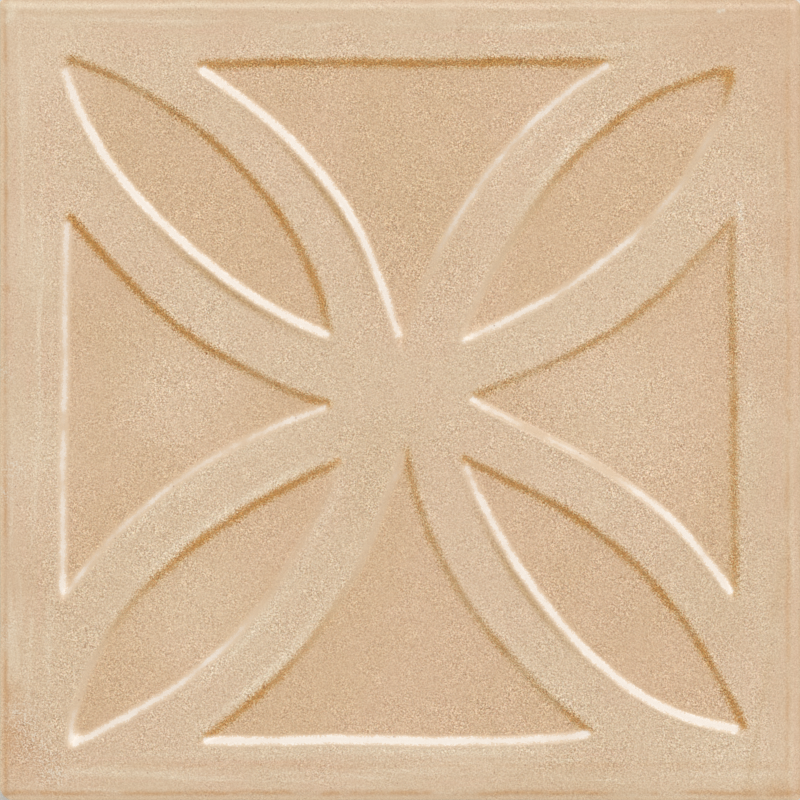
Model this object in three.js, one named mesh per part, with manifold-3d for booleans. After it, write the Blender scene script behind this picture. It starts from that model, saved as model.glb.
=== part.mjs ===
// Square wall tile of glazed fired clay with a pressed relief, one solid piece.
// Millimetres, +Z up out of the glazed face. The origin is the centre of the plain back, the face that is bonded.
// Eight panels are sunk into the face: a leaf in each corner of the square and a fan on each side of it.
// What stays raised between them is a frame and the outline of a four-leaf flower.

import * as THREE from "three";
import { mergeVertices } from "three/addons/utils/BufferGeometryUtils.js";
import Module from "manifold-3d";

// Tile body
const TILE_SIDE = 150;
const TILE_THICKNESS = 10;
const CORNER_RADIUS = 2;
const EDGE_ROUND_WIDTH = 1.9;
const EDGE_ROUND_DROP = 1.6;
const BACK_EDGE_BREAK = 0.5;

// Relief: how far the panels are sunk, and the width of the S-shaped wall around each of them
const RELIEF_DEPTH = 1.5;
const WALL_RUN = 2.6;

// Panel outlines, measured at the middle of their walls, with their tips as if sharp
const FRAME_WIDTH = 11.9;
const LEAF_EDGE_MARGIN = 10.6;
const LEAF_TIP_OFFSET = 12.5;
const LEAF_BOW = 8.9;
const FAN_BASE_LENGTH = 75;
const FAN_APEX_OFFSET = 10;
const FAN_BOW = 6.2;

// Rounding of the panels' tips, at the middle of the wall and where it would vanish lower down
const TIP_RADIUS = 0.7;
const FLOOR_TIP_RADIUS = 0.15;

// Steps along each curve
const CORNER_STEPS = 5;
const EDGE_STEPS = 4;
const WALL_STEPS = 4;
const SIDE_STEPS = 14;
const TIP_STEPS = 4;

const GLAZE_COLOUR = 0xd8bea0;
const GLAZE_ROUGHNESS = 0.3;

const HALF_SIDE = TILE_SIDE / 2;
const QUARTER_TURN = Math.PI / 2;

// Points of an arc, counter-clockwise when to is past from.
function arc(centre, radius, from, to, steps) {
  const curve = new THREE.EllipseCurve(centre.x, centre.y, radius, radius, from, to, to < from);
  return curve.getPoints(steps);
}

// The same without its two ends, for a side between two tips that already have them.
function openArc(centre, radius, from, to, steps) {
  return arc(centre, radius, from, to, steps).slice(1, -1);
}

// Direction from one point to another, as an angle.
function heading(from, to) {
  return Math.atan2(to.y - from.y, to.x - from.x);
}

// Radius of an arc from its chord and bow.
function arcRadius(chord, bow) {
  return (chord * chord / 4 + bow * bow) / (2 * bow);
}

// A closed solid whose section at each height of the profile is the outline at that outset.
// outlineAt gives the outline's points counter-clockwise; the profile lists (outset, height) from the bottom up.
function loft(outlineAt, profile) {
  const rows = profile.map((level) => outlineAt(level.x));
  const count = rows[0].length;
  const positions = rows.flatMap((row, level) => row.flatMap((point) => [point.x, point.y, profile[level].y]));
  const index = [];
  for (let low = 0; low < count * (rows.length - 1); low += count) {
    const high = low + count;
    for (let i = 0; i < count; i += 1) {
      const next = (i + 1) % count;
      index.push(low + i, low + next, high + next);
      index.push(low + i, high + next, high + i);
    }
  }
  const top = count * (rows.length - 1);
  for (const [a, b, c] of THREE.ShapeUtils.triangulateShape(rows[0], [])) {
    index.push(a, c, b);
  }
  for (const [a, b, c] of THREE.ShapeUtils.triangulateShape(rows[rows.length - 1], [])) {
    index.push(top + a, top + b, top + c);
  }
  const geometry = new THREE.BufferGeometry();
  geometry.setAttribute("position", new THREE.Float32BufferAttribute(positions, 3));
  geometry.setIndex(index);
  return geometry;
}

// The slab: a square with rounded corners, its back edge broken and its face edge rounded over.
function tileBody() {
  const centre = HALF_SIDE - CORNER_RADIUS;
  const corners = [[1, 1], [-1, 1], [-1, -1], [1, -1]];
  const outlineAt = (outset) => corners.flatMap(([x, y], turn) => arc(
    new THREE.Vector2(x * centre, y * centre),
    CORNER_RADIUS + outset,
    turn * QUARTER_TURN,
    (turn + 1) * QUARTER_TURN,
    CORNER_STEPS,
  ));
  const roundover = new THREE.EllipseCurve(
    -EDGE_ROUND_WIDTH, TILE_THICKNESS - EDGE_ROUND_DROP, EDGE_ROUND_WIDTH, EDGE_ROUND_DROP, 0, QUARTER_TURN,
  );
  return loft(outlineAt, [
    new THREE.Vector2(-BACK_EDGE_BREAK, 0),
    new THREE.Vector2(0, BACK_EDGE_BREAK),
    ...roundover.getPoints(EDGE_STEPS),
  ]);
}

// The wall of a sunken panel, from the edge of its floor up an S to the face, then straight on above the face.
function wallProfile() {
  const floorHeight = TILE_THICKNESS - RELIEF_DEPTH;
  const wall = new THREE.CubicBezierCurve(
    new THREE.Vector2(-WALL_RUN / 2, floorHeight),
    new THREE.Vector2(0, floorHeight),
    new THREE.Vector2(0, TILE_THICKNESS),
    new THREE.Vector2(WALL_RUN / 2, TILE_THICKNESS),
  );
  const above = new THREE.Vector2(WALL_RUN / 2, TILE_THICKNESS + RELIEF_DEPTH);
  return [...wall.getPoints(WALL_STEPS), above];
}

// A tip's radius on the outline at an outset.
function tipRadius(outset) {
  return Math.max(TIP_RADIUS + outset, FLOOR_TIP_RADIUS);
}

// A leaf along +X, between two arcs that bow outwards, from its inner tip to its outer tip.
function leafOutline(outset) {
  const innerTip = LEAF_TIP_OFFSET * Math.SQRT2;
  const outerTip = (HALF_SIDE - LEAF_EDGE_MARGIN) * Math.SQRT2;
  const middle = (innerTip + outerTip) / 2;
  const sideRadius = arcRadius(outerTip - innerTip, LEAF_BOW);
  const sideDrop = sideRadius - LEAF_BOW;
  const round = tipRadius(outset);
  const reach = Math.sqrt((sideRadius + outset - round) ** 2 - sideDrop ** 2);
  const slant = Math.atan2(sideDrop, reach);
  const upperCentre = new THREE.Vector2(middle, -sideDrop);
  const lowerCentre = new THREE.Vector2(middle, sideDrop);
  const outerCentre = new THREE.Vector2(middle + reach, 0);
  const innerCentre = new THREE.Vector2(middle - reach, 0);
  return [
    ...arc(outerCentre, round, -slant, slant, TIP_STEPS),
    ...openArc(upperCentre, sideRadius + outset, slant, Math.PI - slant, SIDE_STEPS),
    ...arc(innerCentre, round, Math.PI - slant, Math.PI + slant, TIP_STEPS),
    ...openArc(lowerCentre, sideRadius + outset, Math.PI + slant, 2 * Math.PI - slant, SIDE_STEPS),
  ];
}

// A fan along +X, its apex towards the centre of the tile and its straight base along the frame.
// Its two sides bow inwards, around circles that lie outside the fan.
function fanOutline(outset) {
  const base = HALF_SIDE - FRAME_WIDTH;
  const chord = new THREE.Vector2(base - FAN_APEX_OFFSET, FAN_BASE_LENGTH / 2);
  const sideRadius = arcRadius(chord.length(), FAN_BOW);
  const outwards = new THREE.Vector2(-chord.y, chord.x).normalize();
  const upperCentre = new THREE.Vector2(FAN_APEX_OFFSET, 0)
    .addScaledVector(chord, 1 / 2)
    .addScaledVector(outwards, sideRadius - FAN_BOW);
  const round = tipRadius(outset);
  const reach = sideRadius - outset + round;
  const cornerX = base + outset - round;
  const cornerY = upperCentre.y - Math.sqrt(reach ** 2 - (cornerX - upperCentre.x) ** 2);
  const apexX = upperCentre.x + Math.sqrt(reach ** 2 - upperCentre.y ** 2);
  const corner = new THREE.Vector2(cornerX, cornerY);
  const apex = new THREE.Vector2(apexX, 0);
  const cornerTurn = heading(corner, upperCentre);
  const apexTurn = heading(apex, upperCentre);
  const sideFrom = heading(upperCentre, corner);
  const sideTo = heading(upperCentre, apex);
  const upperHalf = [
    ...arc(corner, round, 0, cornerTurn, TIP_STEPS),
    ...openArc(upperCentre, sideRadius - outset, sideFrom, sideTo, SIDE_STEPS),
    ...arc(apex, round, apexTurn, Math.PI, TIP_STEPS / 2),
  ];
  const lowerHalf = upperHalf.slice(0, -1).reverse().map((point) => new THREE.Vector2(point.x, -point.y));
  return [...upperHalf, ...lowerHalf];
}

const wasm = await Module();
wasm.setup();

function toSolid(geometry) {
  const merged = mergeVertices(geometry);
  return new wasm.Manifold(new wasm.Mesh({
    numProp: 3,
    vertProperties: Float32Array.from(merged.attributes.position.array),
    triVerts: Uint32Array.from(merged.index.array),
  }));
}

function toGeometry(solid) {
  const mesh = solid.getMesh();
  const geometry = new THREE.BufferGeometry();
  geometry.setAttribute("position", new THREE.BufferAttribute(mesh.vertProperties, 3));
  geometry.setIndex(new THREE.BufferAttribute(mesh.triVerts, 1));
  return geometry;
}

// The tile with its eight panels sunk: a fan towards each side and a leaf towards each corner.
function reliefTile() {
  const wall = wallProfile();
  let tile = toSolid(tileBody());
  for (let turn = 0; turn < 4; turn += 1) {
    const fan = loft(fanOutline, wall).rotateZ(turn * QUARTER_TURN);
    const leaf = loft(leafOutline, wall).rotateZ((turn + 1 / 2) * QUARTER_TURN);
    tile = tile.subtract(toSolid(fan)).subtract(toSolid(leaf));
  }
  const geometry = toGeometry(tile).toNonIndexed();
  geometry.computeVertexNormals();
  return geometry;
}

const glaze = new THREE.MeshStandardMaterial({
  color: GLAZE_COLOUR,
  roughness: GLAZE_ROUGHNESS,
  metalness: 0,
});

const tileMesh = new THREE.Mesh(reliefTile(), glaze);
tileMesh.name = "relief_tile";

const part = new THREE.Group();
part.add(tileMesh);

export default part;
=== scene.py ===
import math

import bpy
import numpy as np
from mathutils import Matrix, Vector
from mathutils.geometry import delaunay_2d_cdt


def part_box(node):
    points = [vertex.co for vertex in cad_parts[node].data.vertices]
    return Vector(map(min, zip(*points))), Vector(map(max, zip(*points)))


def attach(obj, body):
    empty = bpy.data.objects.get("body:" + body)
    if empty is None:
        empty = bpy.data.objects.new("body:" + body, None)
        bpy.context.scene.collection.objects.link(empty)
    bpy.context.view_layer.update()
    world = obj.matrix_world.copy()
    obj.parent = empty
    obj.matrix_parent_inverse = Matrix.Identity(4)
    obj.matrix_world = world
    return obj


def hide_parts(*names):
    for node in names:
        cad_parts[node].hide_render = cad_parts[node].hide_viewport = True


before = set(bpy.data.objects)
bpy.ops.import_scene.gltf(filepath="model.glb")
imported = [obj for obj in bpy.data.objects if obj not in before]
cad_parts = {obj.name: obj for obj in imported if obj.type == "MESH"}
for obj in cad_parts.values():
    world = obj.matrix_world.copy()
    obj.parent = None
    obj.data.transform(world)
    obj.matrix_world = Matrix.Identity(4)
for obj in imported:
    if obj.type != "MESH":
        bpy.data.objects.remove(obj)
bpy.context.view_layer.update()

# The fired and glazed tile: one mesh that stands for the CAD solid, with the hand-pressed relief, the
# rolled edges, the speckled satin glaze and the bare clay back. Shapes are worked out in millimetres in the
# tile's own frame (+X right, +Y up as the face is seen, +Z out of the face) and turned into metres when the
# mesh is made.

MM = 0.001
tile_low, tile_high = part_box("relief_tile")
HALF_SIDE = (tile_high[0] - tile_low[0]) / 2 / MM
THICKNESS = (tile_high[2] - tile_low[2]) / MM

# Relief: the face lies a little below the top of the CAD box, which leaves room for the lips beside the
# panels. Two sides of a panel blend where they meet, and each is carried on past its tips by a share of its
# length.
FACE_MARGIN = 0.12
FACE = THICKNESS - FACE_MARGIN
RELIEF_DEPTH = 1.25
WALL_RUN = 2.2
LIP_HEIGHT = 0.045
LIP_DISTANCE = 1.0
LIP_WIDTH = 0.4
TIP_BLEND = 1.4
SIDE_OVERRUN = 0.12
FACE_SINK = 0.03

# Unevenness of the hand-pressed clay and of the glaze lines: sums of waves, each with a size, a length and a
# seed
FACE_WAVES = ((0.02, 28, 21), (0.006, 7, 22))
WANDER_WAVES_X = ((0.07, 16, 11), (0.03, 5.5, 12))
WANDER_WAVES_Y = ((0.07, 16, 13), (0.03, 5.5, 14))
OUTLINE_WAVES = ((0.5, 45, 31), (0.25, 12, 32))
CREST_WAVES = ((1.0, 22, 33), (0.5, 6, 34))
LINE_WAVES = ((0.16, 8, 41), (0.08, 2.6, 42))

# Tile edges: the corners' radii counter-clockwise from the upper right one, and the roll at the face's edge
CORNER_RADII = (1.6, 0.9, 2.6, 0.9)
ROLL_WIDTH = 2.2
ROLL_DROP = 1.15
BACK_BREAK = 0.5
OUTLINE_WOBBLE = 0.06
CREST_WOBBLE = 0.16
CREST_CORNER = 1.8

# Mesh: the spacing of its points, the rows of them that follow the walls at these distances from a panel's
# outline, and how those rows are found
ROW_SPACING = 0.55
GRID_SPACING = 0.9
BORDER_SPACING = 0.8
BACK_SPACING = 4.0
WALL_ROWS = (-2.2, -1.6, -1.2, -0.95, -0.7, -0.45, -0.22, 0.0, 0.22, 0.45, 0.7, 0.95, 1.2, 1.6, 2.2)
WALL_GAP = GRID_SPACING * 0.55
BORDER_GAP = BORDER_SPACING * 0.6
ROLL_ROWS = 9
SIDE_ROWS = 4
CORNER_STEPS = 8
BOW_STRETCH = 1.04
FOLLOW_STEPS = 5
FOLLOW_TOLERANCE = 0.04
LEAST_SLOPE = 0.2
THINNING = 0.2
SAME_POINT = 1e-6
INSIDE_LOOP = 1

# Panels: their tips counter-clockwise, as if sharp, and for the side after each tip how far it bows
# outwards, how far the bow leans towards the side's start, and how much of it sits near the tips. Stops are
# how far from the side's two tips its painted highlight or shade line ends.
LEAVES = [
    {"tips": [(-63.1, 63.9), (-13.3, 12.1)], "bows": [(7.9, 1.3, 2.2), (9.6, 1.1, 1.9)],
     "stops": [(2.3, 0.6), (0.7, 1.5)]},
    {"tips": [(62.4, 61.8), (11.3, 10.9)], "bows": [(9.0, 2.3, 1.4), (8.8, -1.8, 0.5)],
     "stops": [(2.4, 0.7), (0.6, 3.2)], "blend": 4.0},
    {"tips": [(-62.2, -64.9), (-11.2, -11.7)], "bows": [(8.3, 0.0, -1.7), (9.6, -2.8, 1.5)],
     "stops": [(1.2, 0.7), (0.6, 1.0)], "blend": 3.4},
    {"tips": [(64.8, -61.9), (11.4, -10.8)], "bows": [(7.9, 0.0, -2.0), (9.7, -3.1, 1.6)],
     "stops": [(1.3, 0.6), (1.9, 1.8)]},
]
FANS = [
    {"tips": [(-37.9, 62.5), (0.3, 10.1), (39.9, 63.0)],
     "bows": [(-6.9, 0.3, 1.6), (-6.4, 0.4, -1.1), (0.2, -0.3, 1.0)],
     "stops": [(1.2, 2.2), (2.6, 1.3), (1.6, 0.9)]},
    {"tips": [(-63.1, -36.9), (-12.9, -1.1), (-62.3, 35.0)],
     "bows": [(-5.1, -0.2, -0.2), (-5.0, -0.5, 0.4), (0.2, -0.3, 0.3)],
     "stops": [(0.4, 1.3), (0.8, 1.1), (2.2, 1.2)]},
    {"tips": [(62.0, 33.3), (13.3, 0.2), (62.5, -36.9)],
     "bows": [(-4.4, -0.5, 2.1), (-4.7, 1.9, 1.2), (0.1, 0.3, 0.1)],
     "stops": [(0.3, 0.9), (0.4, 1.3), (0.8, 0.3)]},
    {"tips": [(35.5, -62.4), (1.0, -8.4), (-37.1, -63.9)],
     "bows": [(-6.2, 1.2, -0.1), (-6.4, 0.5, 1.2), (0.5, -1.3, 1.3)],
     "stops": [(0.7, 1.5), (2.0, 0.9), (0.8, 0.8)]},
]
PANELS = LEAVES + FANS

# Lines along the walls: painted highlight, pale, on the walls that face the light from the upper right, and
# painted shade, amber, on those that face away from it. A point takes the line that is strongest there, or
# the nearest one where none is.
LIGHT_FROM = math.radians(62)
SHADED_FACING = math.radians(250)
HIGHLIGHT_STRENGTH = 2.7
SHADE_STRENGTH = 2.4
HIGHLIGHT_REACH = 0.4
HIGHLIGHT_FALLOFF = 1.7
SHADE_START = 0.1
SHADE_RISE = 0.5
HIGHLIGHT_WIDTH = 0.59
SHADE_WIDTH = 0.74
NEAREST_WINS = 1e-6
FARTHEST = 30

# How much the fine and the coarse grain fray each line
HIGHLIGHT_FRAYING = (1.2, 0.6)
SHADE_FRAYING = (2.0, 0.7)

# Spots along the walls where a painted highlight (pale) or painted shade (amber) line is weaker or
# stronger: x, y, radius and the share of its strength there
LINE_SPOTS = {
    "pale": [
        (23, -6, 14, 0.28),
        (38, -13, 11, 0.25),
        (-29, -8, 16, 0.6),
        (-24, -31, 12, 0.75),
        (-42, -48, 10, 0.85),
        (-58, -34, 7, 1.5),
        (22, -63, 13, 0.75),
        (60, 50, 10, 0.1),
        (-63, 0, 24, 0.8),
        (13, 37, 14, 2.2),
        (40, 28, 9, 1.3),
        (12.6, 11.5, 4, 0.65),
        (-15, -2.5, 5, 0.65),
    ],
    "amber": [
        (-26, 3, 11, 0.6),
        (25, 6, 14, 0.3),
        (43, 15.5, 9, 0.5),
        (57, 27, 8, 0.6),
        (13, -36, 15, 0.3),
        (25, -54, 11, 0.3),
        (-50, 59, 9, 0.4),
        (-59, 31, 6, 1.5),
        (44, 55, 10, 0.75),
        (57, -46, 7, 0.75),
        (-16, 25, 7, 0.8),
        (-15, -13, 6, 0.75),
        (0, -18, 8, 0.4),
        (44, -28, 10, 0.8),
        (60, 52, 9, 0.1),
        (-59, -53, 9, 0.1),
    ],
}

# Places where a painted highlight (pale) or painted shade (amber) line runs on round a blunt leaf end or
# along a wall that faces aside: x, y, radius and strength
HOOKS = {
    "pale": [
        (-60.4, -63.9, 2.6, 2.6),
        (-61.7, -60.5, 2.2, 0.7),
        (57.0, 48.5, 5.0, 1.1),
        (50.0, 38.0, 7.0, 1.5),
    ],
    "amber": [
        (61.8, 61.2, 2.6, 3.2),
        (61.2, 57.0, 2.6, 0.7),
    ],
}

# Colours by place on the face: soft round spots, each an x, a y and a radius. Fringes are painted shade,
# darker bands beyond the walls that face the light; halos are paler bands beside the walls; and rough and
# smooth spots change the grain.
CREAM_SPOTS = (
    (-42, 2, 13),
    (40, -2, 15),
    (-66, 66, 12),
    (-69, 28, 9),
    (-38, -38, 12),
    (66, -66, 9),
    (-69, -10, 9),
)
TAN_SPOTS = (
    (62, 69, 13),
    (69, 8, 9),
    (-70, -68, 6),
    (71, 71, 3),
    (-74, -62, 6),
    (71.5, 55, 6),
    (70.5, 30, 5),
)
RUST_SPOTS = (
    (-74.2, -63, 3.5),
    (-74.2, -55, 3),
    (70, -73.8, 2.4),
    (65, -74.4, 2),
    (-73.6, 20.9, 0.8),
)
CORNER_CREAM_SPOTS = (
    (-72.7, 73.1, 1.2),
    (-72.8, 71.9, 1.0),
    (-73.3, 70.9, 0.8),
)
PALE_FLECKS = (
    (59.6, 72.6, 0.4),
    (60.4, 72.8, 0.35),
    (63.3, 36.6, 0.45),
    (63.6, 35.2, 0.45),
    (63.8, 33.8, 0.4),
)
SHADE_FRINGE_SPOTS = (
    (-13, 38, 13),
    (-32, 22, 15),
    (25, -34, 15),
)
HALO_SPOTS = (
    (-23, -17, 10),
    (-38, -27, 11),
    (-25, -51, 13),
    (32, 45, 11),
    (3, -66, 24),
)
ROUGH_SPOTS = (
    (38, 0, 16),
    (70, 10, 13),
)
ROUGHEST_SPOTS = (
    (-71, -66, 9),
)
SMOOTH_SPOTS = (
    (0, 0, 12),
    (-70, 0, 18),
)
POWDER_SPOTS = (
    (-74.3, 5, 2),
    (-72.3, -12.5, 2.2),
    (-73.8, -17.5, 2),
    (-74.5, -43.5, 2.4),
    (-71, -59, 3.2),
    (-68.5, -64.5, 3.2),
    (-65, -69.5, 3.2),
)

# Noise on the glaze: its cells per millimetre, how far the rims' lines waver in millimetres, and how the
# frame's lower right line slants. The grains, clumps, patches and clouds are turned, so that their cells
# don't line up with the face.
NOISE_TURN = (0.6, 0.9, 0.4)
GRAIN_SCALE = 3.5
COARSE_SCALE = 1.3
CLUMP_SCALE = 0.3
BLOTCH_SCALE = 0.16
WAVER_SCALE = 0.11
TINT_SCALE = 0.06
PATCH_SCALE = 0.045
CLOUD_SCALE = 0.035
SPECK_SCALE = 0.17
SPECK_EDGE = 0.035
SPECK_CORE = 0.018
STREAK_ACROSS = 0.42
STREAK_ALONG = 0.03
STREAK_DEEP = 0.1
RIM_WAVER = 1.6
RIGHT_SLANT = 0.154

# The sandy grain: for red, green and blue, how deep the shared grain goes and the share of another one in
# it, and how much it bends towards light
GRAIN_DEPTHS = (1.25, 1.75, 2.15)
GRAIN_SHARES = (0.35, 0.05, 0.4)
GRAIN_BEND = 0.2

# Distances from a panel's outline, positive outside it: where the sunk colour ends and the raised one is
# full, the width of the painted light on walls that face away from the light, and where the painted shade
# fringes and the halos lie
SUNK_UNTIL = -1.0
RAISED_FULL = 1.2
PAINTED_LIFT_WIDTH = 0.65
SHADE_FRINGE_DISTANCE = 1.8
SHADE_FRINGE_WIDTH = 0.75
HALO_DISTANCE = 1.9
HALO_WIDTH = 0.9

# Distances from the tile's edges: where the frame's streaks begin and are full, how softly they turn at the
# corners, where the grain is weakest and full, the painted highlight bands along the rims, pale at the top
# and pink at the right, and where the painted light on the rolls at left and below begins and is full
STREAKS_FROM = 12.5
STREAKS_FULL = 8.0
STREAKS_TURN = 3
GRAIN_WEAKEST = 1.0
GRAIN_FULL = 12.0
TOP_HIGHLIGHT = 1.25
TOP_HIGHLIGHT_WIDTH = 0.7
RIGHT_HIGHLIGHT = 1.15
RIGHT_HIGHLIGHT_WIDTH = 0.55
ROLL_LIFT_FROM = 1.3
ROLL_LIFT_FULL = 0.1

# Where the painted highlight band at the top is strongest and weakest, left to right
TOP_HIGHLIGHT_STRONG = -72
TOP_HIGHLIGHT_WEAK = 60

# Depths below the face: how far down the sides the painted light on the rolls reaches, and where the bead's
# colour sets in
ROLL_LIFT_ENDS = 2.2
ROLL_LIFT_FADES = 1.2
BEAD_FROM = 1.6
BEAD_FULL = 2.4

# The glaze's lower border on the sides, above the back: its height, how far it wanders slowly and quickly,
# how soft it is, and the bead above it
GLAZE_FOOT = 4.6
FOOT_WANDER = 9.0
FOOT_RAGGED = 3.0
FOOT_SOFTNESS = 0.5
BEAD_RISE = 0.6
BEAD_WIDTH = 0.35

# Sheen
GLAZE_ROUGHNESS = 0.38
CLAY_ROUGHNESS = 0.85
CLAY_BUMP = 2.5
BUMP_STRENGTH = 0.1
BUMP_METRES = 0.00008

# Studio, in metres
SKY_COLOUR = (1.0, 0.98, 0.95, 1.0)
SKY_STRENGTH = 0.67
FLOOR_REACH = 6.0
FLOOR_HEIGHT = -0.0002
FLOOR_ROUGHNESS = 0.8

# Camera: how many millimetres of the tile's widest level the picture holds, how far off centre it looks, its
# lens and sensor in millimetres, and how near and how far it sees in metres
VIEW_WIDTH = 149.7
VIEW_SHIFT = -0.05
LENS = 200
SENSOR_WIDTH = 36
CLIP_START = 0.01
CLIP_END = 20


def waves(points, wavelength, seed, count=14):
    """A smooth random field over the face, about 1 high, from sine waves of about one wavelength."""
    rng = np.random.default_rng(seed)
    turns = rng.uniform(0, 2 * math.pi, count)
    lengths = wavelength * rng.uniform(0.7, 1.6, count)
    phases = rng.uniform(0, 2 * math.pi, count)
    total = np.zeros(len(points))
    for turn, length, phase in zip(turns, lengths, phases):
        along = points[:, 0] * math.cos(turn) + points[:, 1] * math.sin(turn)
        total += np.sin(2 * math.pi * along / length + phase)
    return total * math.sqrt(2 / count)


def unevenness(points, parts):
    """The sum of several waves, each with its size, length and seed."""
    return sum(size * waves(points, wavelength, seed) for size, wavelength, seed in parts)


def chord_of(start, end):
    """A side's length from tip to tip, and the directions along it and out of its panel."""
    chord = end - start
    length = np.hypot(*chord)
    along = chord / length
    return length, along, np.array([along[1], -along[0]])


def side_bulge(share, bow):
    """How far a side stands outwards of its chord at a share of its length, and the slope of that."""
    height, lean, ends = bow
    spread = 1 - 2 * share
    shape = 4 * (height + lean * spread + ends * spread ** 2)
    slope = 4 * (-2 * lean - 4 * ends * spread)
    body = share * (1 - share)
    return body * shape, spread * shape + body * slope


def side_distance(points, start, end, bow):
    """Distance beyond one side of a panel, negative on the panel's side of it."""
    length, along, outwards = chord_of(start, end)
    share = ((points - start) @ along / length).clip(-SIDE_OVERRUN, 1 + SIDE_OVERRUN)
    bulge, slope = side_bulge(share, bow)
    return ((points - start) @ outwards - bulge) / np.hypot(1, slope / length)


def soft_max(a, b, blend):
    """The larger of two distances, rounded where they meet."""
    near = np.clip(blend - np.abs(a - b), 0, None) / blend
    return np.maximum(a, b) + near ** 2 * blend / 4


def panel_sides(panel):
    """Each side's start, end, bow and stops."""
    tips = [np.array(tip, float) for tip in panel["tips"]]
    return list(zip(tips, tips[1:] + tips[:1], panel["bows"], panel["stops"]))


def panel_distance(points, panel):
    """Signed distance to one panel's outline, negative inside it."""
    distance = None
    for start, end, bow, _ in panel_sides(panel):
        side = side_distance(points, start, end, bow)
        distance = side if distance is None else soft_max(distance, side, panel.get("blend", TIP_BLEND))
    towards = np.mean(panel["tips"], axis=0)
    return np.maximum(distance, -(points @ (towards / np.hypot(*towards))))


def hand_wobble(points):
    """Points moved the way the pressed lines wander."""
    shifts = [unevenness(points, WANDER_WAVES_X), unevenness(points, WANDER_WAVES_Y)]
    return points + np.stack(shifts, axis=1)


def relief_distance(points):
    """Signed distance to the nearest panel's outline as it was pressed."""
    moved = hand_wobble(points)
    return np.min([panel_distance(moved, panel) for panel in PANELS], axis=0)


def wall_step(across):
    """0 outside a panel and 1 on its floor, with an S between, steepest in the middle."""
    t = np.clip(0.5 - across / WALL_RUN, 0, 1)
    return t - np.sin(2 * math.pi * t) / (2 * math.pi)


def face_height(points):
    """Height of the face above the back."""
    distance = relief_distance(points)
    lip = LIP_HEIGHT * np.exp(-((distance - LIP_DISTANCE) / LIP_WIDTH) ** 2)
    swell = unevenness(points, FACE_WAVES)
    return FACE - RELIEF_DEPTH * wall_step(distance) + lip + swell - FACE_SINK


def gradient(function, points, step=0.02):
    """The slope of a field over the face, by differences across each point."""
    right = function(points + [step, 0]) - function(points - [step, 0])
    up = function(points + [0, step]) - function(points - [0, step])
    return np.stack([right, up], axis=1) / (2 * step)


def outline_points(panel):
    """Points along a panel's sides, evenly spaced."""
    found = []
    for start, end, bow, _ in panel_sides(panel):
        length, _, outwards = chord_of(start, end)
        count = max(2, round(length * BOW_STRETCH / ROW_SPACING))
        share = (np.arange(count) + 0.5) / count
        bulge, _ = side_bulge(share, bow)
        found.append(start + share[:, None] * (end - start) + bulge[:, None] * outwards)
    return np.concatenate(found)


def wall_points():
    """Rows of points that follow every wall, closest together where it bends most."""
    middle = np.concatenate([outline_points(panel) for panel in PANELS])
    rows = []
    for offset in sorted(WALL_ROWS, key=abs):
        points = middle.copy()
        for _ in range(FOLLOW_STEPS):
            slope = gradient(relief_distance, points)
            short = offset - relief_distance(points)
            points += short[:, None] * slope / np.sum(slope ** 2, axis=1)[:, None].clip(LEAST_SLOPE)
        good = np.abs(relief_distance(points) - offset) < FOLLOW_TOLERANCE
        rows.append(points[good])
    return thinned(np.concatenate(rows), THINNING)


def thinned(points, distance):
    """The first point in each small square."""
    _, first = np.unique(np.floor(points / distance).astype(int), axis=0, return_index=True)
    return points[np.sort(first)]


def open_points(limit):
    """An even triangular grid over the face, clear of the walls and the border."""
    row_height = GRID_SPACING * math.sqrt(3) / 2
    rows = np.arange(-limit, limit, row_height)
    columns = np.arange(-limit, limit, GRID_SPACING)
    x, y = np.meshgrid(columns, rows)
    x = x + (np.arange(len(rows)) % 2)[:, None] * GRID_SPACING / 2
    points = np.stack([x.ravel(), y.ravel()], axis=1)
    inside = np.max(np.abs(points), axis=1) < limit
    clear = np.abs(relief_distance(points)) > max(WALL_ROWS) + WALL_GAP
    return points[inside & clear]


def border_loop(inset):
    """The tile's outline moved inwards, counter-clockwise, with the waviness of a hand-pressed edge."""
    half = HALF_SIDE - inset
    inwards = inset / ROLL_WIDTH
    roundings = [radius + (CREST_CORNER - radius) * inwards for radius in CORNER_RADII]
    count = round(2 * HALF_SIDE / BORDER_SPACING)
    points = []
    normals = []
    for turn, rounding in enumerate(roundings):
        start = turn * math.pi / 2
        reach = half - rounding
        centre = np.array([math.cos(start) - math.sin(start), math.sin(start) + math.cos(start)]) * reach
        for step in range(CORNER_STEPS + 1):
            angle = start + step / CORNER_STEPS * math.pi / 2
            normals.append((math.cos(angle), math.sin(angle)))
            points.append(centre + rounding * np.array(normals[-1]))
        corner = points[-1]
        side = normals[-1]
        length = reach + half - roundings[(turn + 1) % 4]
        for step in range(1, count):
            normals.append(side)
            points.append(corner + np.array([-side[1], side[0]]) * length * step / count)
    points = np.array(points)
    wobble = unevenness(points, OUTLINE_WAVES).clip(-1, 1)
    crest = CREST_WOBBLE * inwards * unevenness(points, CREST_WAVES).clip(-2, 2)
    return points - np.array(normals) * (OUTLINE_WOBBLE * (1 + wobble) + crest)[:, None]


def triangulate(points, loop_length):
    """Triangles over the points inside the loop that the first of them make, and the points' new order."""
    loop = list(range(loop_length))
    vectors = [Vector(point) for point in points.tolist()]
    made = delaunay_2d_cdt(vectors, [], [loop], INSIDE_LOOP, SAME_POINT)
    vertices, _, triangles, origins = made[:4]
    coordinates = np.array([tuple(vertex) for vertex in vertices])
    place = {}
    for new, olds in enumerate(origins):
        for old in olds:
            place[old] = new
    return coordinates, [list(triangle) for triangle in triangles], [place[i] for i in loop]


def face_part():
    """The face inside its rolled edge: its points, its triangles, and the loop around it."""
    border = border_loop(ROLL_WIDTH)
    inner = HALF_SIDE - ROLL_WIDTH - OUTLINE_WOBBLE * 2 - CREST_WOBBLE * 2 - BORDER_GAP
    cloud = np.concatenate([wall_points(), open_points(inner)])
    flat, triangles, loop = triangulate(np.concatenate([border, cloud]), len(border))
    return np.column_stack([flat, face_height(flat)]), triangles, loop


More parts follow.
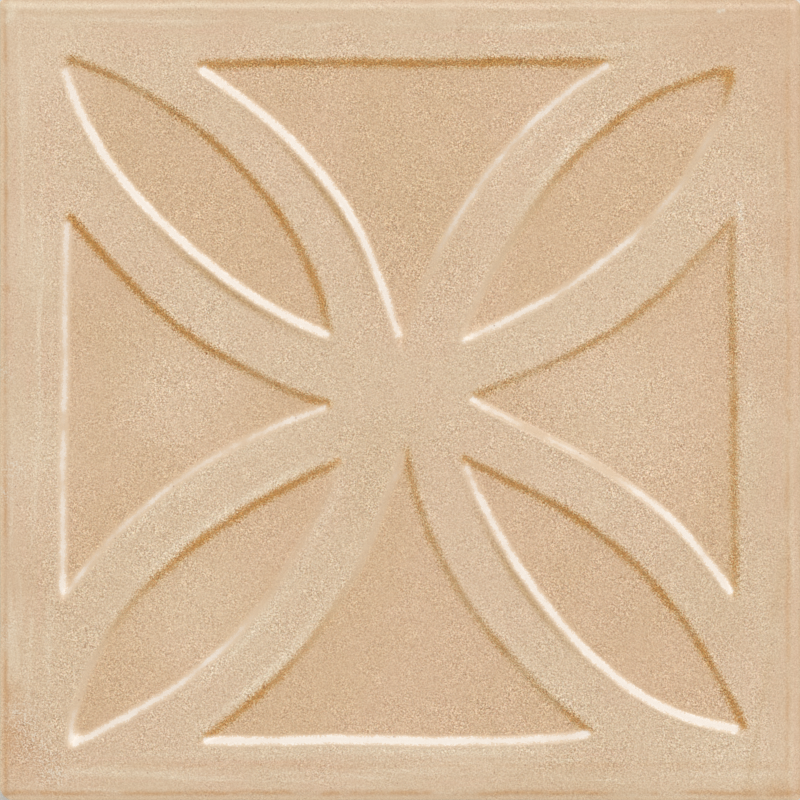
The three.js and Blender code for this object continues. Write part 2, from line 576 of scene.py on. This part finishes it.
def edge_levels():
    """Rings of points from the face down the rolled edge and the side to the back."""
    levels = []
    for row in range(1, ROLL_ROWS + 1):
        turn = row / ROLL_ROWS * math.pi / 2
        ring = border_loop(ROLL_WIDTH * (1 - math.sin(turn)))
        levels.append(np.column_stack([ring, face_height(ring) - ROLL_DROP * (1 - math.cos(turn))]))
    shoulder = levels[-1][:, 2]
    for row in range(1, SIDE_ROWS + 1):
        share = row / SIDE_ROWS
        ring = border_loop(0)
        levels.append(np.column_stack([ring, shoulder * (1 - share) + BACK_BREAK * share]))
    ring = border_loop(BACK_BREAK)
    levels.append(np.column_stack([ring, np.zeros(len(ring))]))
    return levels


def back_part(ring):
    """The flat back inside the lowest ring: its points, its triangles as seen from above, and the loop."""
    reach = HALF_SIDE - BACK_BREAK - BACK_SPACING / 2
    ticks = np.linspace(-reach, reach, round(2 * reach / BACK_SPACING))
    x, y = np.meshgrid(ticks, ticks)
    grid = np.stack([x.ravel(), y.ravel()], axis=1)
    return triangulate(np.concatenate([ring, grid]), len(ring))


def tile_mesh():
    """The whole closed skin of the tile: face, rolled edge, sides and back."""
    face, faces, before = face_part()
    vertices = [face]
    total = len(face)
    levels = edge_levels()
    for level in levels:
        after = list(range(total, total + len(level)))
        vertices.append(level)
        total += len(level)
        for i in range(len(level)):
            j = (i + 1) % len(level)
            faces.append([before[i], after[i], after[j], before[j]])
        before = after

    back, triangles, loop = back_part(levels[-1][:, :2])
    index = {new: before[old] for old, new in enumerate(loop)}
    extra = [i for i in range(len(back)) if i not in index]
    for place, i in enumerate(extra):
        index[i] = total + place
    vertices.append(np.column_stack([back[extra], np.zeros(len(extra))]))
    faces += [[index[i] for i in reversed(triangle)] for triangle in triangles]
    return np.concatenate(vertices), faces


def glaze_left(points, spots):
    """The share of a painted highlight or shade line's strength at each point, uneven along it and changed
    in spots.
    """
    left = 1 + unevenness(points, LINE_WAVES)
    for x, y, radius, share in spots:
        away = np.hypot(points[:, 0] - x, points[:, 1] - y) / radius
        left *= 1 - (1 - share) * np.exp(-away ** 2)
    return left.clip(0)


def side_stroke(points, side):
    """Distance to one side's painted highlight or shade line, which stops short of the tips, and the way its
    wall faces.
    """
    start, end, bow, stops = side
    length, along, outwards = chord_of(start, end)
    share = (points - start) @ along / length
    on_side = share.clip(stops[0] / length, 1 - stops[1] / length)
    bulge, slope = side_bulge(on_side, bow)
    tilt = np.hypot(1, slope / length)
    across = ((points - start) @ outwards - bulge) / tilt
    normal = (outwards - slope[:, None] / length * along) / tilt[:, None]
    return np.hypot(across, (share - on_side) * length), -normal


def turned_to(facing, angle):
    """How squarely a wall faces a direction: 1 towards it and -1 away from it."""
    return facing @ np.array([math.cos(angle), math.sin(angle)])


def hook_strength(points, hooks):
    """Strength of a line that follows whatever outline is nearest, in spots."""
    total = np.zeros(len(points))
    for x, y, radius, strength in hooks:
        away = np.hypot(points[:, 0] - x, points[:, 1] - y) / radius
        total += strength * np.exp(-away ** 2)
    return total


def glaze_strokes(points):
    """For the pale painted-highlight and the amber painted-shade lines along the walls, the distance to the
    nearest one and its strength.
    """
    moved = hand_wobble(points)
    left = {name: glaze_left(points, spots) for name, spots in LINE_SPOTS.items()}
    round_ends = np.abs(relief_distance(points))
    laid = {name: [(round_ends, hook_strength(points, hooks))] for name, hooks in HOOKS.items()}
    for side in (side for panel in PANELS for side in panel_sides(panel)):
        away, facing = side_stroke(moved, side)
        # Painted highlight where a wall faces the light, painted shade where it faces away from it
        pale = HIGHLIGHT_STRENGTH * (turned_to(facing, LIGHT_FROM) + HIGHLIGHT_REACH).clip(0) ** HIGHLIGHT_FALLOFF
        amber = SHADE_STRENGTH * ((turned_to(facing, SHADED_FACING) - SHADE_START) / SHADE_RISE).clip(0, 1)
        laid["pale"].append((away, left["pale"] * pale))
        laid["amber"].append((away, left["amber"] * amber))
    found = {}
    for name, lines in laid.items():
        away = np.stack([line[0] for line in lines])
        strength = np.stack([line[1] for line in lines])
        best = np.argmax(strength * np.exp(-(away / HIGHLIGHT_WIDTH) ** 2) - away * NEAREST_WINS, axis=0)
        here = np.arange(len(points))
        found[name] = (away[best, here], strength[best, here])
    return found


def outline_facing(points):
    """How squarely the nearest panel's outline faces the light from the upper right: 1 towards it and -1
    away from it.
    """
    slope = gradient(relief_distance, points)
    return -turned_to(slope, LIGHT_FROM) / np.hypot(*slope.T).clip(LEAST_SLOPE)


def add_float(mesh, name, values):
    """Stores a number for each point of the mesh, for the material to read."""
    mesh.attributes.new(name, "FLOAT", "POINT").data.foreach_set("value", values.astype(np.float32))


def make_tile():
    """The tile, with what its glaze needs to know at each point."""
    vertices, faces = tile_mesh()
    mesh = bpy.data.meshes.new("glazed_relief_tile")
    mesh.from_pydata((vertices * MM).tolist(), [], faces)
    flat = vertices[:, :2]
    add_float(mesh, "panel_distance", relief_distance(flat).clip(-FARTHEST, FARTHEST))
    add_float(mesh, "outline_facing", outline_facing(flat))
    # Where the painted highlight (pale) and painted shade (amber) lines lie, and how strong they are
    for name, (away, strength) in glaze_strokes(flat).items():
        add_float(mesh, name + "_distance", away.clip(0, FARTHEST))
        add_float(mesh, name + "_strength", strength)
    mesh.shade_smooth()
    mesh.validate()
    tile = bpy.data.objects.new("glazed_relief_tile", mesh)
    bpy.context.scene.collection.objects.link(tile)
    return tile


def linear(red, green, blue):
    """A screen colour, 0 to 255, as the scene-linear colour that shaders take."""
    def channel(value):
        value /= 255
        return value / 12.92 if value <= 0.04045 else ((value + 0.055) / 1.055) ** 2.4
    return (channel(red), channel(green), channel(blue), 1.0)


RAISED_COLOUR = linear(216, 191, 161)
SUNK_COLOUR = linear(212, 180, 144)
PINK_COLOUR = linear(218, 186, 158)
SAND_COLOUR = linear(206, 176, 138)
TAN_COLOUR = linear(212, 179, 147)
# Painted light, paler glaze against the shade on walls and rolls that face away from the light
PAINTED_LIFT_COLOUR = linear(236, 206, 170)
# Painted shade for the fringes beyond the walls that face the light
SHADE_COLOUR = linear(196, 161, 116)
CREAM_COLOUR = linear(226, 208, 182)
# Painted shade on the walls that face away from the light, amber to olive
SHADE_AMBER_COLOUR = linear(207, 147, 68)
SHADE_OLIVE_COLOUR = linear(202, 164, 96)
RUST_COLOUR = linear(206, 162, 115)
# Painted highlight on the walls that face the light, cream to near white
HIGHLIGHT_CREAM_COLOUR = linear(233, 213, 188)
HIGHLIGHT_COLOUR = linear(246, 240, 233)
POWDER_COLOUR = linear(228, 221, 206)
CLAY_COLOUR = linear(205, 168, 134)
SPECK_COLOUR = linear(150, 104, 78)
FLOOR_COLOUR = linear(232, 233, 230)


class Nodes:
    """Short ways to make and join shader nodes."""

    def __init__(self, material):
        material.use_nodes = True
        self.tree = material.node_tree
        self.tree.nodes.clear()

    def put(self, socket, value):
        if isinstance(value, bpy.types.NodeSocket):
            self.tree.links.new(value, socket)
        elif value is not None:
            socket.default_value = value

    def node(self, kind, settings=None, **inputs):
        made = self.tree.nodes.new(kind)
        for name, value in (settings or {}).items():
            setattr(made, name, value)
        for name, value in inputs.items():
            self.put(made.inputs[name.replace("_", " ")], value)
        return made

    def math(self, operation, a, b=None, c=None):
        made = self.tree.nodes.new("ShaderNodeMath")
        made.operation = operation
        for socket, value in zip(made.inputs, (a, b, c)):
            self.put(socket, value)
        return made.outputs[0]

    def add(self, a, b):
        return self.math("ADD", a, b)

    def less(self, a, b):
        """The first value less the second."""
        return self.math("SUBTRACT", a, b)

    def times(self, first, *others):
        product = first
        for other in others:
            product = self.math("MULTIPLY", product, other)
        return product

    def span(self, value, low, high, start=0.0, end=1.0, smooth=True):
        """The value from low to high turned into start to end, and held beyond them."""
        made = self.tree.nodes.new("ShaderNodeMapRange")
        made.interpolation_type = "SMOOTHSTEP" if smooth else "LINEAR"
        for socket, given in zip(made.inputs, (value, low, high, start, end)):
            self.put(socket, given)
        return made.outputs[0]

    def bell(self, value, middle, width):
        """1 at the middle and falling to 0 about a width away."""
        scaled = self.math("DIVIDE", self.less(value, middle), width)
        return self.math("EXPONENT", self.times(scaled, scaled, -1.0))

    def mix(self, amount, a, b, blend="MIX"):
        made = self.tree.nodes.new("ShaderNodeMix")
        made.data_type = "RGBA"
        made.blend_type = blend
        made.clamp_factor = True
        self.put(made.inputs[0], amount)
        self.put(made.inputs[6], a)
        self.put(made.inputs[7], b)
        return made.outputs[2]

    def attribute(self, name):
        return self.node("ShaderNodeAttribute", {"attribute_name": name}).outputs["Fac"]

    def noise(self, vector, scale, detail=2.0, roughness=0.5, distortion=0.0):
        return self.node("ShaderNodeTexNoise", Vector=vector, Scale=scale, Detail=detail,
                         Roughness=roughness, Distortion=distortion).outputs["Fac"]


class GlazeNodes(Nodes):
    """The glaze's nodes, with the places, distances and noises that the functions below share as n."""

    def __init__(self, material):
        super().__init__(material)
        place = self.node("ShaderNodeTexCoord").outputs["Object"]
        scaled = self.node("ShaderNodeVectorMath", {"operation": "SCALE"}, Vector=place, Scale=1 / MM)
        self.mm = scaled.outputs[0]
        rotated = self.node("ShaderNodeVectorRotate", {"rotation_type": "EULER_XYZ"}, Vector=self.mm)
        rotated.inputs["Rotation"].default_value = NOISE_TURN
        turned = rotated.outputs[0]
        axes = self.node("ShaderNodeSeparateXYZ", Vector=self.mm)
        self.x = axes.outputs["X"]
        self.y = axes.outputs["Y"]
        self.z = axes.outputs["Z"]
        self.distance = self.attribute("panel_distance")
        self.facing = self.attribute("outline_facing")

        fine = self.node("ShaderNodeTexNoise", Vector=turned, Scale=GRAIN_SCALE, Detail=1.0, Roughness=0.6)
        split = self.node("ShaderNodeSeparateColor", Color=fine.outputs["Color"])
        self.grain, self.warm, self.cold = [self.less(channel, 0.5) for channel in split.outputs]
        self.coarse = self.less(self.noise(turned, COARSE_SCALE, 2.0, 0.6), 0.5)
        self.clumps = self.noise(turned, CLUMP_SCALE, 2.0, 0.6)
        self.patches = self.noise(turned, PATCH_SCALE, 3.0, 0.6)
        self.cloud = self.noise(turned, CLOUD_SCALE, 3.0, 0.55)

        self.left = self.add(self.x, HALF_SIDE)
        self.right = self.less(HALF_SIDE, self.x)
        self.bottom = self.add(self.y, HALF_SIDE)
        self.top = self.less(HALF_SIDE, self.y)
        self.nearest_end = self.math("MINIMUM", self.bottom, self.top)
        self.nearest_side = self.math("MINIMUM", self.left, self.right)
        self.edge = self.math("MINIMUM", self.nearest_side, self.nearest_end)

    def streaks(self, scales):
        """Noise drawn out into streaks."""
        scaled = self.node("ShaderNodeVectorMath", {"operation": "MULTIPLY"}, Vector=self.mm)
        scaled.inputs[1].default_value = scales
        return self.noise(scaled.outputs[0], 1.0, 3.0, 0.6, 0.3)

    def spots(self, places, strength):
        """Soft round spots on the face, each at an x and y with a radius."""
        total = 0.0
        for x, y, radius in places:
            away = self.node("ShaderNodeVectorMath", {"operation": "DISTANCE"}, Vector=self.mm)
            away.inputs[1].default_value = (x, y, FACE)
            total = self.add(self.bell(away.outputs["Value"], 0.0, radius), total)
        return self.times(total, strength)

    def wall_line(self, name, width, fraying):
        """How much of a painted highlight or shade line's colour lies at a point, full where it is strong
        and frayed by the grain.
        """
        by_grain, by_coarse = fraying
        frayed = self.add(self.times(self.grain, by_grain), self.times(self.coarse, by_coarse))
        away = self.add(self.attribute(name + "_distance"), frayed)
        laid = self.times(self.attribute(name + "_strength"), self.bell(away, 0.0, width))
        return self.less(1.0, self.math("EXPONENT", self.times(laid, -1.0)))


def ground_colour(n):
    """Sandy glaze, paler on what is raised, with soft clouds of colour and brush streaks along the frame."""
    upright = n.streaks((STREAK_ACROSS, STREAK_ALONG, STREAK_DEEP))
    level = n.streaks((STREAK_ALONG, STREAK_ACROSS, STREAK_DEEP))
    beside = n.span(n.less(n.nearest_end, n.nearest_side), -STREAKS_TURN, STREAKS_TURN)
    streak = n.add(n.times(upright, beside), n.times(level, n.less(1.0, beside)))
    on_frame = n.span(n.edge, STREAKS_FROM, STREAKS_FULL)
    tint = n.noise(n.mm, TINT_SCALE, 2.0, 0.5)
    body = n.mix(n.span(n.distance, SUNK_UNTIL, RAISED_FULL), SUNK_COLOUR, RAISED_COLOUR)
    body = n.mix(n.span(tint, 0.42, 0.62, 0.0, 0.4), body, PINK_COLOUR)
    body = n.mix(n.span(n.cloud, 0.45, 0.7, 0.0, 0.35), body, SAND_COLOUR)
    body = n.mix(n.times(on_frame, n.span(streak, 0.52, 0.68, 0.0, 0.65)), body, PINK_COLOUR)
    body = n.mix(n.times(on_frame, n.span(streak, 0.48, 0.32, 0.0, 0.6)), body, CREAM_COLOUR)
    body = n.mix(n.spots(CREAM_SPOTS, 0.35), body, CREAM_COLOUR)
    return n.mix(n.spots(TAN_SPOTS, 0.7), body, TAN_COLOUR)


def with_rims(n, body):
    """Rust and tan lines where the edges roll over, some of them painted shade; painted highlight bands at
    the top and right; painted light on the rolls at left and below.
    """
    waver = n.times(n.less(n.noise(n.mm, WAVER_SCALE, 3.0, 0.6), 0.5), RIM_WAVER)
    blotch = n.span(n.noise(n.mm, BLOTCH_SCALE, 3.0, 0.6), 0.35, 0.62, 0.15, 1.0)
    slanted = n.math("MULTIPLY_ADD", n.y, RIGHT_SLANT, n.right)
    # Each line's distance from an edge, where on it the line lies, its width, its strength and its colour
    lines = (
        (n.left, 0.5, 0.9, 0.6, TAN_COLOUR),
        # The rust lines just inside the left and bottom edges are partly painted shade on rolls facing away
        # from the light
        (n.left, 1.2, 0.4, 0.75, RUST_COLOUR),
        (n.bottom, 1.5, 0.5, 0.8, RUST_COLOUR),
        (n.bottom, 6.6, 0.7, 0.25, RUST_COLOUR),
        (n.right, 2.6, 0.55, 0.55, RUST_COLOUR),
        (n.right, 4.6, 1.6, 0.3, TAN_COLOUR),
        (n.right, 0.2, 0.3, 0.4, RUST_COLOUR),
        (slanted, -1.2, 0.9, 0.45, SAND_COLOUR),
        (n.top, 2.5, 0.4, 0.35, SAND_COLOUR),
        (n.top, 0.1, 0.35, 0.6, TAN_COLOUR),
    )
    for away, middle, width, strength, colour in lines:
        line = n.bell(n.add(away, waver), middle, width)
        body = n.mix(n.times(line, blotch, strength), body, colour)
    body = n.mix(n.spots(RUST_SPOTS, 0.6), body, RUST_COLOUR)
    # Painted highlight: a pale band on the top roll, which faces the light, and a pink one on the right roll
    band = n.bell(n.add(n.top, waver), TOP_HIGHLIGHT, TOP_HIGHLIGHT_WIDTH)
    band = n.times(band, n.span(n.x, TOP_HIGHLIGHT_STRONG, TOP_HIGHLIGHT_WEAK, 0.8, 0.2))
    body = n.mix(band, body, CREAM_COLOUR)
    band = n.times(n.bell(n.add(n.right, waver), RIGHT_HIGHLIGHT, RIGHT_HIGHLIGHT_WIDTH), 0.6)
    body = n.mix(band, body, PINK_COLOUR)
    # Painted light on the rolls at left and below, against the shade they fall into facing away from the
    # light
    rolled = n.span(n.math("MINIMUM", n.left, n.bottom), ROLL_LIFT_FROM, ROLL_LIFT_FULL, 0.0, 0.95)
    rolled = n.times(rolled, n.span(n.z, FACE - ROLL_LIFT_ENDS, FACE - ROLL_LIFT_FADES))
    body = n.mix(rolled, body, PAINTED_LIFT_COLOUR)
    body = n.mix(n.spots(CORNER_CREAM_SPOTS, 0.7), body, CREAM_COLOUR)
    return n.mix(n.spots(PALE_FLECKS, 0.7), body, POWDER_COLOUR)


def with_walls(n, body, amber):
    """Painted light on walls that face away from the light, painted shade fringes beside some that face it,
    and amber painted-shade lines.
    """
    # Painted light: walls that face away from the light are made paler against their shade
    away_from_light = n.span(n.facing, 0.7, -0.7, 0.0, 0.8, smooth=False)
    painted_lift = n.times(n.bell(n.distance, 0.0, PAINTED_LIFT_WIDTH), away_from_light)
    body = n.mix(painted_lift, body, PAINTED_LIFT_COLOUR)
    # Painted shade: a darker fringe beyond the walls that face the light
    fringe = n.times(n.bell(n.distance, SHADE_FRINGE_DISTANCE, SHADE_FRINGE_WIDTH), n.span(n.facing, 0.5, 0.8))
    body = n.mix(n.times(fringe, n.spots(SHADE_FRINGE_SPOTS, 1.1)), body, SHADE_COLOUR)
    halo = n.times(n.bell(n.distance, HALO_DISTANCE, HALO_WIDTH), n.spots(HALO_SPOTS, 0.75))
    body = n.mix(halo, body, CREAM_COLOUR)
    tone = n.mix(n.span(n.add(amber, n.times(n.warm, 2.5)), 0.35, 0.85), SHADE_OLIVE_COLOUR, SHADE_AMBER_COLOUR)
    return n.mix(amber, body, tone)


def speckle(n, amber, pale):
    """The sandy grain, as a colour to multiply by: uneven, stronger on amber painted-shade lines, faint on
    painted highlights.
    """
    amount = n.times(n.span(n.patches, 0.3, 0.7, 0.75, 1.25), n.span(n.clumps, 0.3, 0.7, 0.7, 1.3))
    amount = n.times(amount, n.span(n.edge, GRAIN_WEAKEST, GRAIN_FULL, 0.5, 1.0))
    rough = n.add(n.spots(ROUGH_SPOTS, 0.3), n.spots(ROUGHEST_SPOTS, 1.1))
    amount = n.times(amount, n.less(n.add(rough, 1.0), n.spots(SMOOTH_SPOTS, 0.2)))
    amount = n.times(amount, n.add(1.0, n.times(amber, 0.5)))
    amount = n.times(amount, n.less(1.0, n.times(pale, 0.85)))
    channels = []
    for depth, other, share in zip(GRAIN_DEPTHS, (n.warm, n.warm, n.cold), GRAIN_SHARES):
        mottle = n.times(n.add(n.times(n.grain, depth), n.times(other, share)), amount)
        bend = n.math("MULTIPLY_ADD", mottle, GRAIN_BEND, 1.0)
        channels.append(n.math("MULTIPLY_ADD", mottle, bend, 1.0))
    return n.node("ShaderNodeCombineColor", Red=channels[0], Green=channels[1], Blue=channels[2]).outputs[0]


def with_powder_and_specks(n, body):
    """Pale powdery speckle in places on the left edge and the lower left corner, and a few dark specks."""
    powder = n.times(n.spots(POWDER_SPOTS, 0.65), n.span(n.add(n.grain, n.coarse), 0.03, 0.17))
    body = n.mix(powder, body, POWDER_COLOUR)
    cells = n.node("ShaderNodeTexVoronoi", {"voronoi_dimensions": "2D"}, Vector=n.mm, Scale=SPECK_SCALE)
    cell_colour = n.node("ShaderNodeSeparateColor", Color=cells.outputs["Color"])
    chosen = n.span(cell_colour.outputs[0], 0.64, 0.66)
    speck = n.times(n.span(cells.outputs["Distance"], SPECK_EDGE, SPECK_CORE), chosen)
    return n.mix(n.times(speck, 0.5), body, SPECK_COLOUR)


def with_bare_clay(n, body, shade):
    """Bare clay below an uneven line on the sides, a bead at that line, and where there is glaze."""
    foot = n.add(n.z, n.times(n.less(n.clumps, 0.5), FOOT_RAGGED))
    foot = n.add(foot, n.times(n.less(n.patches, 0.5), FOOT_WANDER))
    glazed = n.span(foot, GLAZE_FOOT, GLAZE_FOOT + FOOT_SOFTNESS)
    bead = n.times(n.bell(foot, GLAZE_FOOT + BEAD_RISE, BEAD_WIDTH), 0.5)
    bead = n.times(bead, n.span(n.z, FACE - BEAD_FROM, FACE - BEAD_FULL))
    body = n.mix(bead, body, CREAM_COLOUR)
    clay = n.mix(1.0, CLAY_COLOUR, shade, "MULTIPLY")
    clay = n.mix(n.span(n.cloud, 0.4, 0.7, 0.0, 0.35), clay, SAND_COLOUR)
    return n.mix(glazed, clay, body), glazed


def finish_surface(n, body, glazed):
    """The satin sheen of the glaze and the dull clay, both slightly grainy."""
    height = n.add(n.times(n.grain, 0.4), n.times(n.coarse, 0.6))
    height = n.times(height, n.span(glazed, 0.0, 1.0, CLAY_BUMP, 1.0))
    bump = n.node("ShaderNodeBump", Strength=BUMP_STRENGTH, Distance=BUMP_METRES, Height=height)
    roughness = n.span(glazed, 0.0, 1.0, CLAY_ROUGHNESS, GLAZE_ROUGHNESS)
    normal = bump.outputs[0]
    shader = n.node("ShaderNodeBsdfPrincipled", Base_Color=body, Normal=normal, Roughness=roughness)
    n.node("ShaderNodeOutputMaterial", Surface=shader.outputs[0])


def glaze_material():
    """The tile's whole surface, from the ground colour up to the sheen."""
    material = bpy.data.materials.new("sandy_satin_glaze")
    n = GlazeNodes(material)
    # The amber painted-shade lines and the pale painted-highlight lines along the walls
    amber = n.wall_line("amber", SHADE_WIDTH, SHADE_FRAYING)
    pale = n.wall_line("pale", HIGHLIGHT_WIDTH, HIGHLIGHT_FRAYING)
    body = ground_colour(n)
    body = with_rims(n, body)
    body = with_walls(n, body, amber)
    shade = speckle(n, amber, pale)
    body = n.mix(1.0, body, shade, "MULTIPLY")
    # Painted highlight on the walls that face the light: cream, and near white where it is strongest
    body = n.mix(pale, body, HIGHLIGHT_CREAM_COLOUR)
    body = n.mix(n.span(pale, 0.55, 1.0), body, HIGHLIGHT_COLOUR)
    body = with_powder_and_specks(n, body)
    body, glazed = with_bare_clay(n, body, shade)
    finish_surface(n, body, glazed)
    return material


def plain_material(name, colour, roughness):
    material = bpy.data.materials.new(name)
    n = Nodes(material)
    shader = n.node("ShaderNodeBsdfPrincipled")
    shader.inputs["Base Color"].default_value = colour
    shader.inputs["Roughness"].default_value = roughness
    n.node("ShaderNodeOutputMaterial", Surface=shader.outputs[0])
    return material


def aim(obj, azimuth, elevation, distance):
    """Puts an object at a direction and distance from the tile, looking at it along its own -Z."""
    a = math.radians(azimuth)
    e = math.radians(elevation)
    place = Vector((math.cos(a) * math.cos(e), math.sin(a) * math.cos(e), math.sin(e))) * distance
    obj.location = place
    obj.rotation_euler = (-place).to_track_quat("-Z", "Y").to_euler()


def area_light(name, azimuth, elevation, distance, width, height, power):
    """A rectangular light that faces the tile, sized in metres."""
    data = bpy.data.lights.new(name, "AREA")
    data.shape = "RECTANGLE"
    data.size = width
    data.size_y = height
    data.energy = power
    light = bpy.data.objects.new(name, data)
    bpy.context.scene.collection.objects.link(light)
    aim(light, azimuth, elevation, distance)


def make_stage():
    """A pale floor just below the tile, a soft key light from the upper right, a low strip and a sky."""
    mesh = bpy.data.meshes.new("floor")
    turns = ((-1, -1), (1, -1), (1, 1), (-1, 1))
    corners = [(x * FLOOR_REACH, y * FLOOR_REACH, FLOOR_HEIGHT) for x, y in turns]
    mesh.from_pydata(corners, [], [[0, 1, 2, 3]])
    floor = bpy.data.objects.new("floor", mesh)
    bpy.context.scene.collection.objects.link(floor)
    mesh.materials.append(plain_material("pale_floor", FLOOR_COLOUR, FLOOR_ROUGHNESS))

    area_light("key_softbox", azimuth=65, elevation=58, distance=4.0, width=2.4, height=1.8, power=62.0)
    area_light("low_strip", azimuth=65, elevation=18, distance=2.0, width=3.0, height=0.5, power=0.8)

    world = bpy.data.worlds.new("studio")
    bpy.context.scene.world = world
    world.use_nodes = True
    background = world.node_tree.nodes["Background"]
    background.inputs["Color"].default_value = SKY_COLOUR
    background.inputs["Strength"].default_value = SKY_STRENGTH
    bpy.context.scene.view_settings.view_transform = "Standard"


def make_camera():
    """A camera straight above the tile, whose picture ends at the tile's outline as the photo's does."""
    data = bpy.data.cameras.new("camera")
    data.lens = LENS
    data.sensor_width = SENSOR_WIDTH
    data.clip_start = CLIP_START
    data.clip_end = CLIP_END
    camera = bpy.data.objects.new("camera", data)
    bpy.context.scene.collection.objects.link(camera)
    widest = THICKNESS - ROLL_DROP
    distance = VIEW_WIDTH * LENS / SENSOR_WIDTH
    camera.location = (VIEW_SHIFT * MM, VIEW_SHIFT * MM, (widest + distance) * MM)
    bpy.context.scene.camera = camera


make_camera()
tile = make_tile()
tile.data.materials.append(glaze_material())
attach(tile, "root")
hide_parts("relief_tile")
make_stage()
